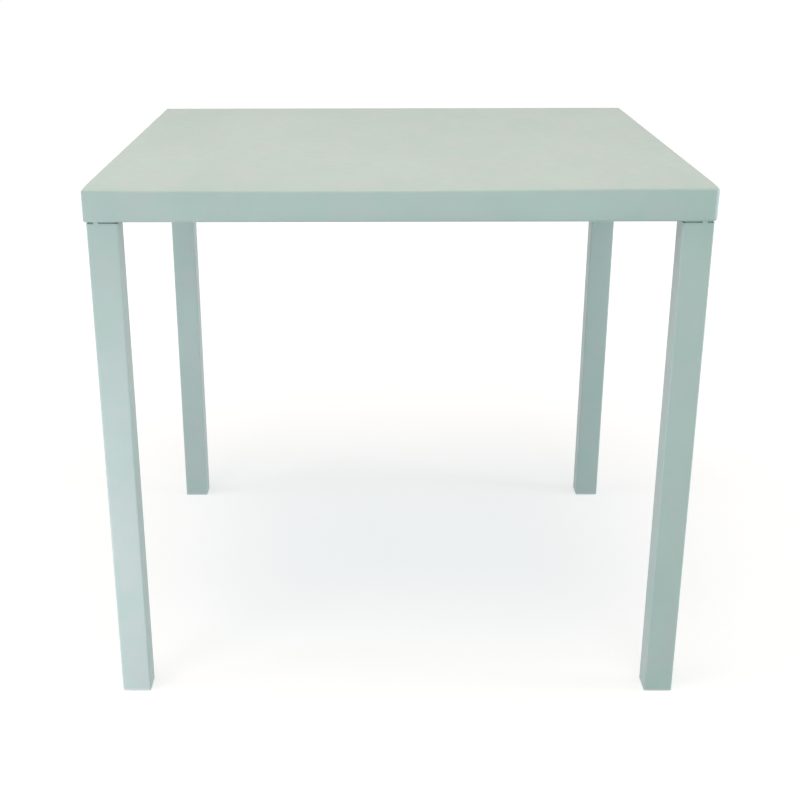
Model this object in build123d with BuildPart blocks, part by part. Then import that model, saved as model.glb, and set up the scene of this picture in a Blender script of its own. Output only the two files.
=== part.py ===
"""Extending outdoor table of folded, powder-coated steel, in millimetres.

The origin is on the floor under the middle of the closed table, with +Z up. The front is towards -Y, and
the draw leaf, which is stored closed under the top, pulls out towards +X.
"""

import os

from build123d import *

# Driving sizes of the closed table
table_length = 800.0
table_width = 800.0
table_height = 720.0
skirt_depth = 42.0
sheet = 1.5
fold_radius = 4.5
skirt_bend_radius = 3.0
left_corner_radius = 5.0
right_corner_radius = 7.0
return_lip = 10.5
lip_end_gap = 3.0

# Square tube legs, which stand inside the corners of the skirt
leg_side = 40.0
leg_wall = 1.5
leg_corner_radius = 2.5
leg_inset = 3.0
leg_top_gap = 1.5
foot_thickness = 3.0

# Draw leaf and the slot that it passes through
leaf_travel = 400.0
leaf_overlap = 32.0
top_lip_depth = 9.0
leaf_headroom = 1.5
leaf_side_gap = 3.0
leaf_fold_depth = 9.0
leaf_fold_radius = 3.0
leaf_corner_radius = 4.0

# Rails, runners and rollers
rail_height = 26.0
rail_thickness = 5.0
rail_end_gap = 3.0
runner_height = 26.0
runner_flange = 20.0
runner_wall = 2.0
runner_bend = 3.0
runner_standoff = 13.0
roller_clearance = 0.3
mouth_roller_setback = 12.0
runner_tail_gap = 68.5
stop_length = 18.0
stop_gap = 0.3

# Fastener sizes that several pieces share
bolt_radius = 3.0
bolt_hole_radius = 3.3
bolt_half_width = 5.0
bolt_head_height = 4.0
bolt_end = 2.0
nut_height = 5.0
strap_bolt_radius = 2.5
strap_hole_radius = 2.75
strap_bolt_half_width = 4.0
strap_head_height = 3.5
strap_nut_height = 4.0
thread_gap = 0.05
nut_plate_thickness = 4.0
nut_plate_margin = 8.0
bracket_bolt_spacing = 16.0

# One overrun serves all cuts
overrun = 5.0

# Heights, from the top down
half_length = table_length / 2
half_width = table_width / 2
sheet_under_z = table_height - sheet
skirt_bottom_z = table_height - skirt_depth
top_lip_z = table_height - top_lip_depth
leaf_top_z = top_lip_z - leaf_headroom
leaf_under_z = leaf_top_z - sheet
leaf_fold_z = leaf_top_z - leaf_fold_depth
runner_bottom_z = leaf_under_z - runner_height
axle_z = leaf_under_z - runner_height / 2
leg_top_z = sheet_under_z - leg_top_gap

# Plan positions, from the skirt inwards
skirt_inner_x = half_length - sheet
skirt_inner_y = half_width - sheet
leg_outer_x = half_length - leg_inset
leg_outer_y = half_width - leg_inset
leg_inner_x = leg_outer_x - leg_side
leg_inner_y = leg_outer_y - leg_side
leg_centre_x = leg_outer_x - leg_side / 2
leg_centre_y = leg_outer_y - leg_side / 2
rail_inner_y = leg_inner_y - rail_thickness
leaf_half_width = rail_inner_y - leaf_side_gap
leaf_inner_x = half_length - leaf_travel - leaf_overlap
leaf_length = half_length - leaf_inner_x
runner_outer_y = rail_inner_y - runner_standoff
runner_web_y = runner_outer_y - runner_flange
runner_channel_y = runner_web_y + runner_wall

# Places along the slide. The leaf stops when the plug in a runner's end meets a roller, so the middle
# rollers stand where the travel puts the plugs in the runners' tails.
roller_radius = runner_height / 2 - runner_wall - roller_clearance
stop_reach = roller_radius + stop_gap + stop_length
mouth_roller_x = leg_inner_x - mouth_roller_setback
runner_front_x = mouth_roller_x + stop_reach
runner_tail_x = runner_tail_gap - skirt_inner_x
middle_roller_x = runner_tail_x + leaf_travel + stop_reach

corners = {
    "front_left": (-1, -1),
    "front_right": (1, -1),
    "rear_left": (-1, 1),
    "rear_right": (1, 1),
}
sides = {"front": -1, "rear": 1}
centred_below = (Align.CENTER, Align.CENTER, Align.MAX)

os.makedirs("parts", exist_ok=True)


def save(piece, name):
    """Labels a finished piece and writes it under the same name."""
    piece.label = name
    export_step(piece, f"parts/{name}.step")


def at_corner(piece, side_x, side_y):
    """Turns a piece made for the rear right corner into the one for another corner."""
    if side_x < 0:
        piece = mirror(piece, about=Plane.YZ)
    if side_y < 0:
        piece = mirror(piece, about=Plane.XZ)
    return piece


def facing(x, y, z, direction):
    """An upright plane at a point, whose normal is the way that a fastener's head looks."""
    level = (abs(direction[1]), abs(direction[0]), 0)
    return Plane(origin=(x, y, z), x_dir=level, z_dir=direction)


def from_middle(x_places, y, z):
    """Planes on both long sides of the table that look towards its middle."""
    return [facing(x, side * y, z, (0, -side, 0)) for side in sides.values() for x in x_places]


def group(piece, planes, name):
    """Copies one fastener to every plane and writes the copies as one node."""
    with BuildPart() as copies:
        with Locations(*planes):
            add(piece)
    save(copies.part, name)


def block(x_ends, y_end, z_ends, corner_radii, top_radius, bottom_radius):
    """A block with rounded corners at its left and right ends. A radius of zero leaves them sharp."""
    with BuildPart() as shape:
        with BuildSketch(Plane.XY.offset(z_ends[0])):
            with Locations((x_ends[0], 0)):
                Rectangle(x_ends[1] - x_ends[0], 2 * y_end, align=(Align.MIN, Align.CENTER))
        extrude(amount=z_ends[1] - z_ends[0])
        for end, radius in zip((0, -1), corner_radii):
            if radius:
                fillet(shape.edges().filter_by(Axis.Z).group_by(Axis.X)[end], radius)
        fillet(shape.faces().sort_by(Axis.Z)[-1].edges(), top_radius)
        fillet(shape.faces().sort_by(Axis.Z)[0].edges(), bottom_radius)
    return shape.part


def hollow(x_ends, y_end, z_ends, corner_radii, fold):
    """A closed shell of sheet with a rolled upper edge and a bent lower edge, to be cut open below."""
    inner_x_ends = (x_ends[0] + sheet, x_ends[1] - sheet)
    inner_z_ends = (z_ends[0] + sheet, z_ends[1] - sheet)
    inner_radii = [radius - sheet if radius else 0 for radius in corner_radii]
    bend = skirt_bend_radius
    with BuildPart() as shell:
        add(block(x_ends, y_end, z_ends, corner_radii, fold, bend))
        inside = block(inner_x_ends, y_end - sheet, inner_z_ends, inner_radii, fold - sheet, bend - sheet)
        add(inside, mode=Mode.SUBTRACT)
    return shell.part


# Table top: one sheet with a rolled edge and a skirt. The skirt's lower edge is bent in as far as the legs,
# and runs on as a lip between them. The right skirt is cut away for the leaf, below a lip.
with BuildPart() as table_top:
    top_ends = (-half_length, half_length)
    top_corner_radii = (left_corner_radius, right_corner_radius)
    add(hollow(top_ends, half_width, (skirt_bottom_z, table_height), top_corner_radii, fold_radius))
    with BuildSketch(Plane.XY.offset(skirt_bottom_z)):
        RectangleRounded(2 * leg_outer_x, 2 * leg_outer_y, leg_corner_radius)
        for side in sides.values():
            with Locations((0, side * leg_outer_y)):
                Rectangle(2 * (leg_inner_x - lip_end_gap), 2 * return_lip, mode=Mode.SUBTRACT)
        with Locations((-leg_outer_x, 0)):
            Rectangle(2 * return_lip, 2 * (leg_inner_y - lip_end_gap), mode=Mode.SUBTRACT)
    extrude(amount=skirt_bend_radius, mode=Mode.SUBTRACT)
    with BuildSketch(Plane.YZ.offset(leg_outer_x - return_lip)):
        with Locations((0, top_lip_z)):
            Rectangle(2 * rail_inner_y, skirt_depth, align=(Align.CENTER, Align.MAX))
    extrude(amount=return_lip + overrun, mode=Mode.SUBTRACT)
save(table_top.part, "table_top")


# Hat sections: pressed strips whose flanges are welded up against a sheet, with the crown below
hat_wall = 1.2
hat_width = 50.0
hat_mouth = 32.0
hat_crown = 26.0


def hat(centre_x, top_z, depth, hat_half_length):
    """A hat section that lies across the table, with its flanges at top_z."""
    crown_z = top_z - depth + hat_wall
    with BuildPart() as section:
        with BuildSketch(Plane.XZ):
            with BuildLine():
                Polyline(
                    (centre_x - hat_width / 2, top_z),
                    (centre_x - hat_mouth / 2, top_z),
                    (centre_x - hat_crown / 2, crown_z),
                    (centre_x + hat_crown / 2, crown_z),
                    (centre_x + hat_mouth / 2, top_z),
                    (centre_x + hat_width / 2, top_z),
                )
                offset(amount=hat_wall, kind=Kind.INTERSECTION, side=Side.RIGHT)
            make_face()
        extrude(amount=hat_half_length, both=True)
    return section.part


# Stiffeners under the top sheet, shallow enough for the leaf to pass below them
stiffener_count = 4
stiffener_pitch_share = 0.2
stiffener_clearance = 1.0
stiffener_end_gap = 8.0
stiffener_depth = sheet_under_z - leaf_top_z - stiffener_clearance
stiffener_half_length = leaf_half_width - stiffener_end_gap
for number in range(stiffener_count):
    stiffener_x = (number - (stiffener_count - 1) / 2) * stiffener_pitch_share * table_length
    piece = hat(stiffener_x, sheet_under_z, stiffener_depth, stiffener_half_length)
    save(piece, f"top_stiffener_{number + 1}")


# Legs: square tube with a hole for the rail's bolt and two for those of the corner bracket
bracket_bolt_heights = [axle_z + lift for lift in (-bracket_bolt_spacing / 2, bracket_bolt_spacing / 2)]
with BuildPart() as leg:
    with BuildSketch(Plane.XY.offset(foot_thickness)):
        with Locations((leg_centre_x, leg_centre_y)):
            RectangleRounded(leg_side, leg_side, leg_corner_radius)
            leg_bore = leg_side - 2 * leg_wall
            Rectangle(leg_bore, leg_bore, mode=Mode.SUBTRACT)
    extrude(amount=leg_top_z - foot_thickness)
    with Locations(facing(leg_centre_x, leg_inner_y, axle_z, (0, -1, 0))):
        Hole(bolt_hole_radius, depth=leg_wall + overrun)
    with Locations(*(facing(leg_inner_x, leg_centre_y, z, (-1, 0, 0)) for z in bracket_bolt_heights)):
        Hole(bolt_hole_radius, depth=leg_wall + overrun)
for corner, (side_x, side_y) in corners.items():
    save(at_corner(leg.part, side_x, side_y), f"leg_{corner}")


# Foot plugs: a flange that meets the floor, and a core with fins that grip inside the tube
plug_clearance = 0.2
plug_chamfer = 0.8
plug_core = 24.0
plug_core_wall = 2.5
plug_depth = 24.0
fin_count = 3
fin_thickness = 1.4
fin_pitch = 6.5
with BuildPart() as foot_plug:
    with BuildSketch():
        with Locations((leg_centre_x, leg_centre_y)):
            RectangleRounded(leg_side, leg_side, leg_corner_radius)
    extrude(amount=foot_thickness)
    chamfer(foot_plug.faces().sort_by(Axis.Z)[0].edges(), plug_chamfer)
    with BuildSketch(Plane.XY.offset(foot_thickness)):
        with Locations((leg_centre_x, leg_centre_y)):
            Rectangle(plug_core, plug_core)
            core_bore = plug_core - 2 * plug_core_wall
            Rectangle(core_bore, core_bore, mode=Mode.SUBTRACT)
    extrude(amount=plug_depth)
    for number in range(fin_count):
        with BuildSketch(Plane.XY.offset(foot_thickness + (number + 1) * fin_pitch)):
            with Locations((leg_centre_x, leg_centre_y)):
                fin_side = leg_side - 2 * (leg_wall + plug_clearance)
                Rectangle(fin_side, fin_side)
                Rectangle(core_bore, core_bore, mode=Mode.SUBTRACT)
        extrude(amount=fin_thickness)
for corner, (side_x, side_y) in corners.items():
    save(at_corner(foot_plug.part, side_x, side_y), f"foot_plug_{corner}")


# Corner brackets: bent angles, welded to the long skirts and to the side rails, and bolted to the legs
bracket_wall = 2.5
bracket_bend = 4.0
bracket_reach = 55.0
bracket_height = 28.0
with BuildPart() as corner_bracket:
    with BuildSketch(Plane.XY.offset(axle_z - bracket_height / 2)):
        with BuildLine():
            FilletPolyline(
                (leg_inner_x, leg_inner_y),
                (leg_inner_x, skirt_inner_y),
                (leg_inner_x - bracket_reach, skirt_inner_y),
                radius=bracket_bend,
            )
            offset(amount=bracket_wall, side=Side.LEFT)
        make_face()
    extrude(amount=bracket_height)
    with Locations(*(facing(leg_inner_x, leg_centre_y, z, (-1, 0, 0)) for z in bracket_bolt_heights)):
        Hole(bolt_hole_radius, depth=bracket_wall + overrun)
for corner, (side_x, side_y) in corners.items():
    save(at_corner(corner_bracket.part, side_x, side_y), f"corner_bracket_{corner}")


# Side rails: flat bars along the long sides, welded to the corner brackets and bolted to the legs
rail_half_length = leg_outer_x - rail_end_gap
axle_fit = 0.05
strap_wall = 2.5
strap_width = 30.0
strap_headroom = 1.0
strap_upturn = 22.0
strap_bolt_rise = 14.5
strap_setback = 25.0
strap_bottom_z = runner_bottom_z - strap_headroom - strap_wall
strap_bolt_z = strap_bottom_z + strap_bolt_rise
roller_places = {"middle": middle_roller_x, "mouth": mouth_roller_x}
strap_places = {name: roller_x - strap_setback for name, roller_x in roller_places.items()}
leg_bolt_places = [-leg_centre_x, leg_centre_x]
for name, side in sides.items():
    with BuildPart() as side_rail:
        with BuildSketch(Plane.XZ.offset(-side * (rail_inner_y + rail_thickness / 2))):
            with Locations((0, axle_z)):
                Rectangle(2 * rail_half_length, rail_height)
        extrude(amount=rail_thickness / 2, both=True)
        for x in leg_bolt_places:
            with Locations(facing(x, side * rail_inner_y, axle_z, (0, -side, 0))):
                Hole(bolt_hole_radius, depth=rail_thickness + overrun)
        for x in roller_places.values():
            with Locations(facing(x, side * rail_inner_y, axle_z, (0, -side, 0))):
                Hole(bolt_radius + axle_fit, depth=rail_thickness + overrun)
        for x in strap_places.values():
            with Locations(facing(x, side * rail_inner_y, strap_bolt_z, (0, -side, 0))):
                Hole(strap_hole_radius, depth=rail_thickness + overrun)
    save(side_rail.part, f"side_rail_{name}")


# Cross straps: flat steel with upturned ends, which tie the rails together below the runners
strap_bend = 5.0
for name, strap_x in strap_places.items():
    with BuildPart() as cross_strap:
        with BuildSketch(Plane.YZ.offset(strap_x)):
            with BuildLine():
                FilletPolyline(
                    (-rail_inner_y, strap_bottom_z + strap_upturn),
                    (-rail_inner_y, strap_bottom_z),
                    (rail_inner_y, strap_bottom_z),
                    (rail_inner_y, strap_bottom_z + strap_upturn),
                    radius=strap_bend,
                )
                offset(amount=strap_wall, side=Side.LEFT)
            make_face()
        extrude(amount=strap_width / 2, both=True)
        with Locations(*from_middle([strap_x], rail_inner_y - strap_wall, strap_bolt_z)):
            Hole(strap_hole_radius, depth=strap_wall + overrun)
    save(cross_strap.part, f"cross_strap_{name}")


def hex_nut(half_width, bore_radius, height):
    """A plain hexagon nut below its seat."""
    with BuildPart() as nut:
        with BuildSketch():
            RegularPolygon(half_width, side_count=6, major_radius=False)
            Circle(bore_radius, mode=Mode.SUBTRACT)
        extrude(amount=-height)
    return nut.part


def hex_bolt(shank_radius, length, half_width, head_height):
    """A hexagon-headed bolt with its head above its seat."""
    with BuildPart() as bolt:
        Cylinder(shank_radius, length, align=centred_below)
        with BuildSketch():
            RegularPolygon(half_width, side_count=6, major_radius=False)
        extrude(amount=head_height)
    return bolt.part


# Rollers: nylon wheels inside the runners, with a long hub that holds each one off its rail
hub_radius = 5.5
hub_proud = 1.0
tyre_width = 10.0
end_play = 0.25
head_gap = 1.0
axle_head_height = 2.5
axle_end = 1.0
hub_inner_y = runner_channel_y + head_gap + axle_head_height + end_play
hub_outer_y = rail_inner_y - end_play
roller_centre_y = hub_inner_y + hub_proud + tyre_width / 2
with BuildPart() as roller:
    with BuildSketch(Plane.XZ):
        with Locations((bolt_radius + axle_fit, roller_centre_y - hub_outer_y)):
            hub_wall = hub_radius - bolt_radius - axle_fit
            Rectangle(hub_wall, hub_outer_y - hub_inner_y, align=(Align.MIN, Align.MIN))
        with Locations((hub_radius, 0)):
            Rectangle(roller_radius - hub_radius, tyre_width, align=(Align.MIN, Align.CENTER))
    revolve(axis=Axis.Z)
for name, side in sides.items():
    for place, roller_x in roller_places.items():
        with BuildPart() as placed_roller:
            with Locations(facing(roller_x, side * roller_centre_y, axle_z, (0, -side, 0))):
                add(roller.part)
        save(placed_roller.part, f"roller_{place}_{name}")


# Roller axles: long bolts with a low head inside the runner and a nut behind the rail
axle_seat_y = hub_inner_y - end_play
axle_length = leg_inner_y + nut_height + axle_end - axle_seat_y
axle = hex_bolt(bolt_radius, axle_length, bolt_half_width, axle_head_height)
group(axle, from_middle(roller_places.values(), axle_seat_y, axle_z), "roller_axles")
axle_nut = hex_nut(bolt_half_width, bolt_radius + thread_gap, nut_height)
group(axle_nut, from_middle(roller_places.values(), leg_inner_y, axle_z), "axle_nuts")


def nut_plate(spacing, hole_offsets):
    """A tapped plate below the inner face of a leg's wall, with its length along the plane's Y axis."""
    with BuildPart() as plate:
        with Locations((0, 0, -leg_wall)):
            plate_length = spacing + 2 * nut_plate_margin
            Box(2 * nut_plate_margin, plate_length, nut_plate_thickness, align=centred_below)
        with Locations(*((0, offset_y, 0) for offset_y in hole_offsets)):
            Hole(bolt_radius + thread_gap)
    return plate.part


def at_legs(x, heights):
    """Planes beside all four legs that look along the table's length to its middle."""
    return [
        facing(side_x * x, side_y * leg_centre_y, z, (-side_x, 0, 0))
        for side_x, side_y in corners.values()
        for z in heights
    ]


# Nut plates: tapped plates welded inside the legs, one for the rail's bolt and one for the bracket's bolts
group(nut_plate(0, [0]), from_middle(leg_bolt_places, leg_inner_y, axle_z), "rail_nut_plates")
bracket_offsets = [z - axle_z for z in bracket_bolt_heights]
bracket_nut_plate = nut_plate(bracket_bolt_spacing, bracket_offsets)
group(bracket_nut_plate, at_legs(leg_inner_x, [axle_z]), "bracket_nut_plates")

# Rail bolts and bracket bolts, which fasten the legs
rail_bolt_length = rail_thickness + leg_wall + nut_plate_thickness + bolt_end
rail_bolt = hex_bolt(bolt_radius, rail_bolt_length, bolt_half_width, bolt_head_height)
group(rail_bolt, from_middle(leg_bolt_places, rail_inner_y, axle_z), "rail_bolts")
bracket_bolt_length = bracket_wall + leg_wall + nut_plate_thickness + bolt_end
bracket_bolt = hex_bolt(bolt_radius, bracket_bolt_length, bolt_half_width, bolt_head_height)
group(bracket_bolt, at_legs(leg_inner_x - bracket_wall, bracket_bolt_heights), "bracket_bolts")

# Strap bolts and nuts
strap_bolt_length = strap_wall + rail_thickness + strap_nut_height + axle_end
strap_bolt = hex_bolt(strap_bolt_radius, strap_bolt_length, strap_bolt_half_width, strap_head_height)
strap_bolt_planes = from_middle(strap_places.values(), rail_inner_y - strap_wall, strap_bolt_z)
group(strap_bolt, strap_bolt_planes, "strap_bolts")
strap_nut = hex_nut(strap_bolt_half_width, strap_bolt_radius + thread_gap, strap_nut_height)
group(strap_nut, from_middle(strap_places.values(), leg_inner_y, strap_bolt_z), "strap_nuts")


# Leaf panel: one sheet with a rolled edge, shallow side folds and a full-depth apron at its outer end that
# closes the slot. The inner fold is notched where the runners pass below it.
apron_bolt_gap = 2.75
apron_return = half_length - leg_centre_x - bolt_half_width - apron_bolt_gap
runner_notch_gap = 1.0
with BuildPart() as leaf_panel:
    leaf_ends = (leaf_inner_x, half_length)
    leaf_heights = (skirt_bottom_z, leaf_top_z)
    add(hollow(leaf_ends, leaf_half_width, leaf_heights, (0, leaf_corner_radius), leaf_fold_radius))
    with BuildSketch(Plane.XY.offset(leaf_fold_z)):
        with Locations((half_length - apron_return, 0)):
            cut_length = leaf_length + overrun
            Rectangle(cut_length, 2 * (leaf_half_width + overrun), align=(Align.MAX, Align.CENTER))
    extrude(amount=-skirt_depth, mode=Mode.SUBTRACT)
    with BuildSketch(Plane.XY.offset(leaf_under_z)):
        for side in sides.values():
            with Locations((leaf_inner_x, side * (runner_web_y + runner_outer_y) / 2)):
                Rectangle(2 * leaf_fold_radius, runner_flange + 2 * runner_notch_gap)
    extrude(amount=-leaf_fold_depth, mode=Mode.SUBTRACT)
save(leaf_panel.part, "leaf_panel")


# Stiffeners under the leaf, welded between the runners
leaf_stiffener_depth = 14.0
leaf_stiffener_shares = {"inner": 1 / 3, "outer": 2 / 3}
for name, length_share in leaf_stiffener_shares.items():
    stiffener_x = leaf_inner_x + length_share * leaf_length
    piece = hat(stiffener_x, leaf_under_z, leaf_stiffener_depth, runner_web_y)
    save(piece, f"leaf_stiffener_{name}")


# Runners: C sections welded under the leaf, open to the outside, which ride over the rollers. A stop plug
# closes each end, and the travel is the way that the plugs have between the rollers.
screw_radius = 2.0
screw_hole_radius = 2.15
screw_places = [runner_tail_x + stop_length / 2, runner_front_x - stop_length / 2]
for name, side in sides.items():
    with BuildPart() as runner:
        with BuildSketch(Plane.YZ.offset(runner_tail_x)):
            with BuildLine():
                FilletPolyline(
                    (side * runner_outer_y, leaf_under_z),
                    (side * runner_web_y, leaf_under_z),
                    (side * runner_web_y, runner_bottom_z),
                    (side * runner_outer_y, runner_bottom_z),
                    radius=runner_bend,
                )
                offset(amount=runner_wall, side=Side.LEFT if side > 0 else Side.RIGHT)
            make_face()
        extrude(amount=runner_front_x - runner_tail_x)
        with Locations(*(facing(x, side * runner_web_y, axle_z, (0, -side, 0)) for x in screw_places)):
            Hole(screw_hole_radius, depth=runner_wall + overrun)
    save(runner.part, f"runner_{name}")


# Runner tie: square tube welded between the tails of the runners, which keeps them parallel
tie_side = 16.0
tie_wall = 1.5
tie_radius = 2.0
tie_setback = 36.0
with BuildPart() as runner_tie:
    with BuildSketch(Plane.XZ):
        with Locations((runner_tail_x + tie_setback, axle_z)):
            RectangleRounded(tie_side, tie_side, tie_radius)
            tie_bore = tie_side - 2 * tie_wall
            Rectangle(tie_bore, tie_bore, mode=Mode.SUBTRACT)
    extrude(amount=runner_web_y, both=True)
save(runner_tie.part, "runner_tie")


# Stop plugs: nylon blocks in the ends of the runners, with a nose cupped to meet a roller
stop_fit = 0.2
stop_recess = 1.0
stop_cup = 3.0
stop_height = runner_height - 2 * (runner_wall + stop_fit)
stop_width = runner_flange - runner_wall - stop_recess
stop_bend_gap = runner_bend - runner_wall


def stop_plugs(seat_x, roller_x, name):
    """A pair of plugs, one in each runner, from its cupped nose at a roller to the runner's end."""
    with BuildPart() as plugs:
        for side in sides.values():
            plug_centre_y = side * (runner_channel_y + stop_width / 2)
            with BuildSketch(Plane.YZ.offset(seat_x)) as plug_face:
                with Locations((plug_centre_y, axle_z)):
                    Rectangle(stop_width, stop_height)
                chamfer(plug_face.vertices(), stop_bend_gap)
            towards_roller = 1 if roller_x > seat_x else -1
            extrude(amount=towards_roller * (stop_length + stop_cup))
            with Locations(facing(roller_x, plug_centre_y, axle_z, (0, -side, 0))):
                Cylinder(roller_radius + stop_gap, stop_width + overrun, mode=Mode.SUBTRACT)
            screw_x = seat_x + towards_roller * stop_length / 2
            with Locations(facing(screw_x, side * runner_channel_y, axle_z, (0, -side, 0))):
                Hole(screw_radius + thread_gap, depth=stop_width - stop_recess)
    save(plugs.part, name)


stop_plugs(runner_front_x, mouth_roller_x, "closing_stops")
stop_plugs(runner_tail_x, middle_roller_x - leaf_travel, "opening_stops")

# Stop screws, with their heads on the inner face of each runner
screw_length = 14.0
screw_half_width = 3.5
screw_head_height = 2.4
stop_screw = hex_bolt(screw_radius, screw_length, screw_half_width, screw_head_height)
group(stop_screw, from_middle(screw_places, runner_web_y, axle_z), "stop_screws")
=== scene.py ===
"""Looks of the extending outdoor table: a folded steel top on square tube legs, with a draw leaf below it.

Lengths are in metres, and in millimetres where a name ends in _mm. The frame is the CAD model's own: the
origin on the floor under the middle of the closed table, +Z up, the front towards -Y, the leaf towards +X.
"""

import math
from functools import partial
from types import SimpleNamespace

import bmesh
import bpy
from mathutils import Matrix, Vector


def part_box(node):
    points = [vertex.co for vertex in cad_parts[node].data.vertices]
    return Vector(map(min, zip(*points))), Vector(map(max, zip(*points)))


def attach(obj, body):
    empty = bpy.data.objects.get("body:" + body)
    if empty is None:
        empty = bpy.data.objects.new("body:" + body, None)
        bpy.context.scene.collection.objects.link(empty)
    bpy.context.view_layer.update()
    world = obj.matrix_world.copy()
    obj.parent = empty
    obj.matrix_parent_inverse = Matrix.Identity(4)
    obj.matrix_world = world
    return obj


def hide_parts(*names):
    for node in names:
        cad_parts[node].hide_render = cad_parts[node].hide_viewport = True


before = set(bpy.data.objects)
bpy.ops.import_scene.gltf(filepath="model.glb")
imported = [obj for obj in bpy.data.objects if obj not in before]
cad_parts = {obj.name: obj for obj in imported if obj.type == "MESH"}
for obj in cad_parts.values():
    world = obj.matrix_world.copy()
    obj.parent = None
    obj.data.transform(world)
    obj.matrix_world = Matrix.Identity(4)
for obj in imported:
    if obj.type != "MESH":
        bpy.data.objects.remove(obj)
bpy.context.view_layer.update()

# Table top
# One sheet of steel, folded down all round into a skirt whose lower edge is bent in. The folds are tight, and
# only the right front corner runs out softer. The corners are welded and ground round before coating.
top_low, top_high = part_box("table_top")
sheet = 0.0015
slot_half_width = 0.352
slot_top = top_high.z - 0.009
lip_reach, lip_half_run = 0.0135, 0.354
bend_reach, left_bend_height, right_bend_height = 0.003, 0.003, 0.0042
front_fold, other_fold, fold_run_out = 0.0032, 0.0022, 0.040
corner_folds = {(1, 1): 0.0022, (-1, 1): 0.0020, (-1, -1): 0.0024, (1, -1): 0.0042}
left_corner, right_corner = 0.0022, 0.007
edge_sag, sag_reach, sag_middle_x, unsagged_share = 0.0019, 0.070, -0.07, 0.25
top_insets = (0.070, 0.052, 0.036, 0.022)
corner_steps, fold_steps, bend_steps, side_steps = 9, 9, 5, 48
least_radius, hair = 0.0006, 1e-6


def linear(hex_colour):
    """An sRGB hex colour as the linear colour that a shader takes."""
    shares = [int(hex_colour[place : place + 2], 16) / 255 for place in (1, 3, 5)]
    return tuple(s / 12.92 if s <= 0.04045 else ((s + 0.055) / 1.055) ** 2.4 for s in shares) + (1.0,)


def add_node(tree, kind, sockets=None, colours=None, **settings):
    """Adds a node with its settings and a ramp's colours. A socket takes a value, an output or a node."""
    prefixes = ("ShaderNode", "GeometryNode", "FunctionNode", "Node")
    node = tree.nodes.new(next(prefix + kind for prefix in prefixes if hasattr(bpy.types, prefix + kind)))
    for name, value in settings.items():
        setattr(node, name, value)
    for socket, value in (sockets or {}).items():
        for one in value if isinstance(value, list) else [value]:
            if isinstance(one, bpy.types.Node):
                one = one.outputs[0]
            if isinstance(one, bpy.types.NodeSocket):
                tree.links.new(one, node.inputs[socket])
            else:
                node.inputs[socket].default_value = one
    for number, (position, colour) in enumerate((colours or {}).items()):
        ramp, inside = node.color_ramp.elements, 0 < number < len(colours) - 1
        stop = ramp.new(position) if inside else ramp[-1 if number else 0]
        stop.position, stop.color = position, linear(colour)
    return node


def new_material(name):
    """An empty material, and what adds nodes to it."""
    material = bpy.data.materials.new(name)
    material.use_nodes = True
    material.node_tree.nodes.clear()
    return material, partial(add_node, material.node_tree)


def dress(mesh, material, crease):
    """Gives a mesh its one material, and makes it smooth but for edges past the crease angle."""
    mesh.materials.clear()
    mesh.materials.append(material)
    mesh.polygons.foreach_set("material_index", [0] * len(mesh.polygons))
    mesh.polygons.foreach_set("use_smooth", [True] * len(mesh.polygons))
    mesh.set_sharp_from_angle(angle=math.radians(crease))


def new_piece(name, mesh, material, crease=50):
    """An object at the origin for a mesh that is in its place."""
    piece = bpy.data.objects.new(name, mesh)
    bpy.context.scene.collection.objects.link(piece)
    dress(mesh, material, crease)
    return piece


def as_mesh(name, shape):
    """A closed shape as a mesh, with its faces turned outwards."""
    bmesh.ops.recalc_face_normals(shape, faces=shape.faces)
    mesh = bpy.data.meshes.new(name)
    shape.to_mesh(mesh)
    shape.free()
    return mesh


def keep_result(piece):
    """Keeps the mesh that a piece's modifiers make, and removes them."""
    bpy.context.view_layer.update()
    piece.data = bpy.data.meshes.new_from_object(piece.evaluated_get(bpy.context.evaluated_depsgraph_get()))
    piece.modifiers.clear()


def finished(piece, edge_round=0.0):
    """Rounds a piece's edges, makes its flats shade flat, and keeps the mesh that its modifiers give."""
    if edge_round:
        rounding = piece.modifiers.new("rounded edges", "BEVEL")
        rounding.width, rounding.segments, rounding.use_clamp_overlap = edge_round, 2, False
        rounding.limit_method, rounding.angle_limit = "ANGLE", math.radians(40)
    flats = piece.modifiers.new("flat flats", "WEIGHTED_NORMAL")
    flats.keep_sharp = True
    keep_result(piece)
    return piece


def settle(piece, body, slot, *stands_for):
    """Hangs a piece on its body, and hides the CAD nodes that it stands for. Its slot is not used."""
    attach(piece, body)
    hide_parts(*stands_for)


# Powder coat on steel: a matt-satin skin about 80 microns thick, fused in an oven. It gives the eye a soft
# broad highlight, fine orange peel, faint drawn-out patches of greyer tone, and rubbed spots on its edges.
coat, add = new_material("satin powder-coated steel")
coat_green, coat_pale, coat_deep, coat_rubbed = "#AFC4BD", "#B2C7C0", "#ACC2BB", "#C9D7D2"
coat_grey = "#B7C3C0"
blotch_mm, tint_mm, mottle_mm, wave_mm, rub_mm = 110.0, 60.0, 18.0, 190.0, 14.0
edge_reach = 0.0016
peel_mm = 2.6  # real orange peel is nearer 1 mm, too fine for the render
place = add("TexCoord").outputs["Object"]
drawn_out = add("Mapping", {"Vector": place, "Scale": (1.0, 0.4, 1.0)})
blotches, mottle, tints, rub_patches, waves, peel = [
    add("TexNoise", {"Vector": vector, "Scale": 1000 / size_mm, "Detail": detail, "Roughness": rough})
    for vector, size_mm, detail, rough in (
        (drawn_out, blotch_mm, 2, 0.45), (place, mottle_mm, 3, 0.6), (drawn_out, tint_mm, 3, 0.55),
        (place, rub_mm, 4, 0.7), (place, wave_mm, 1, 0.4), (place, peel_mm, 2, 0.5),
    )
]
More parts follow.
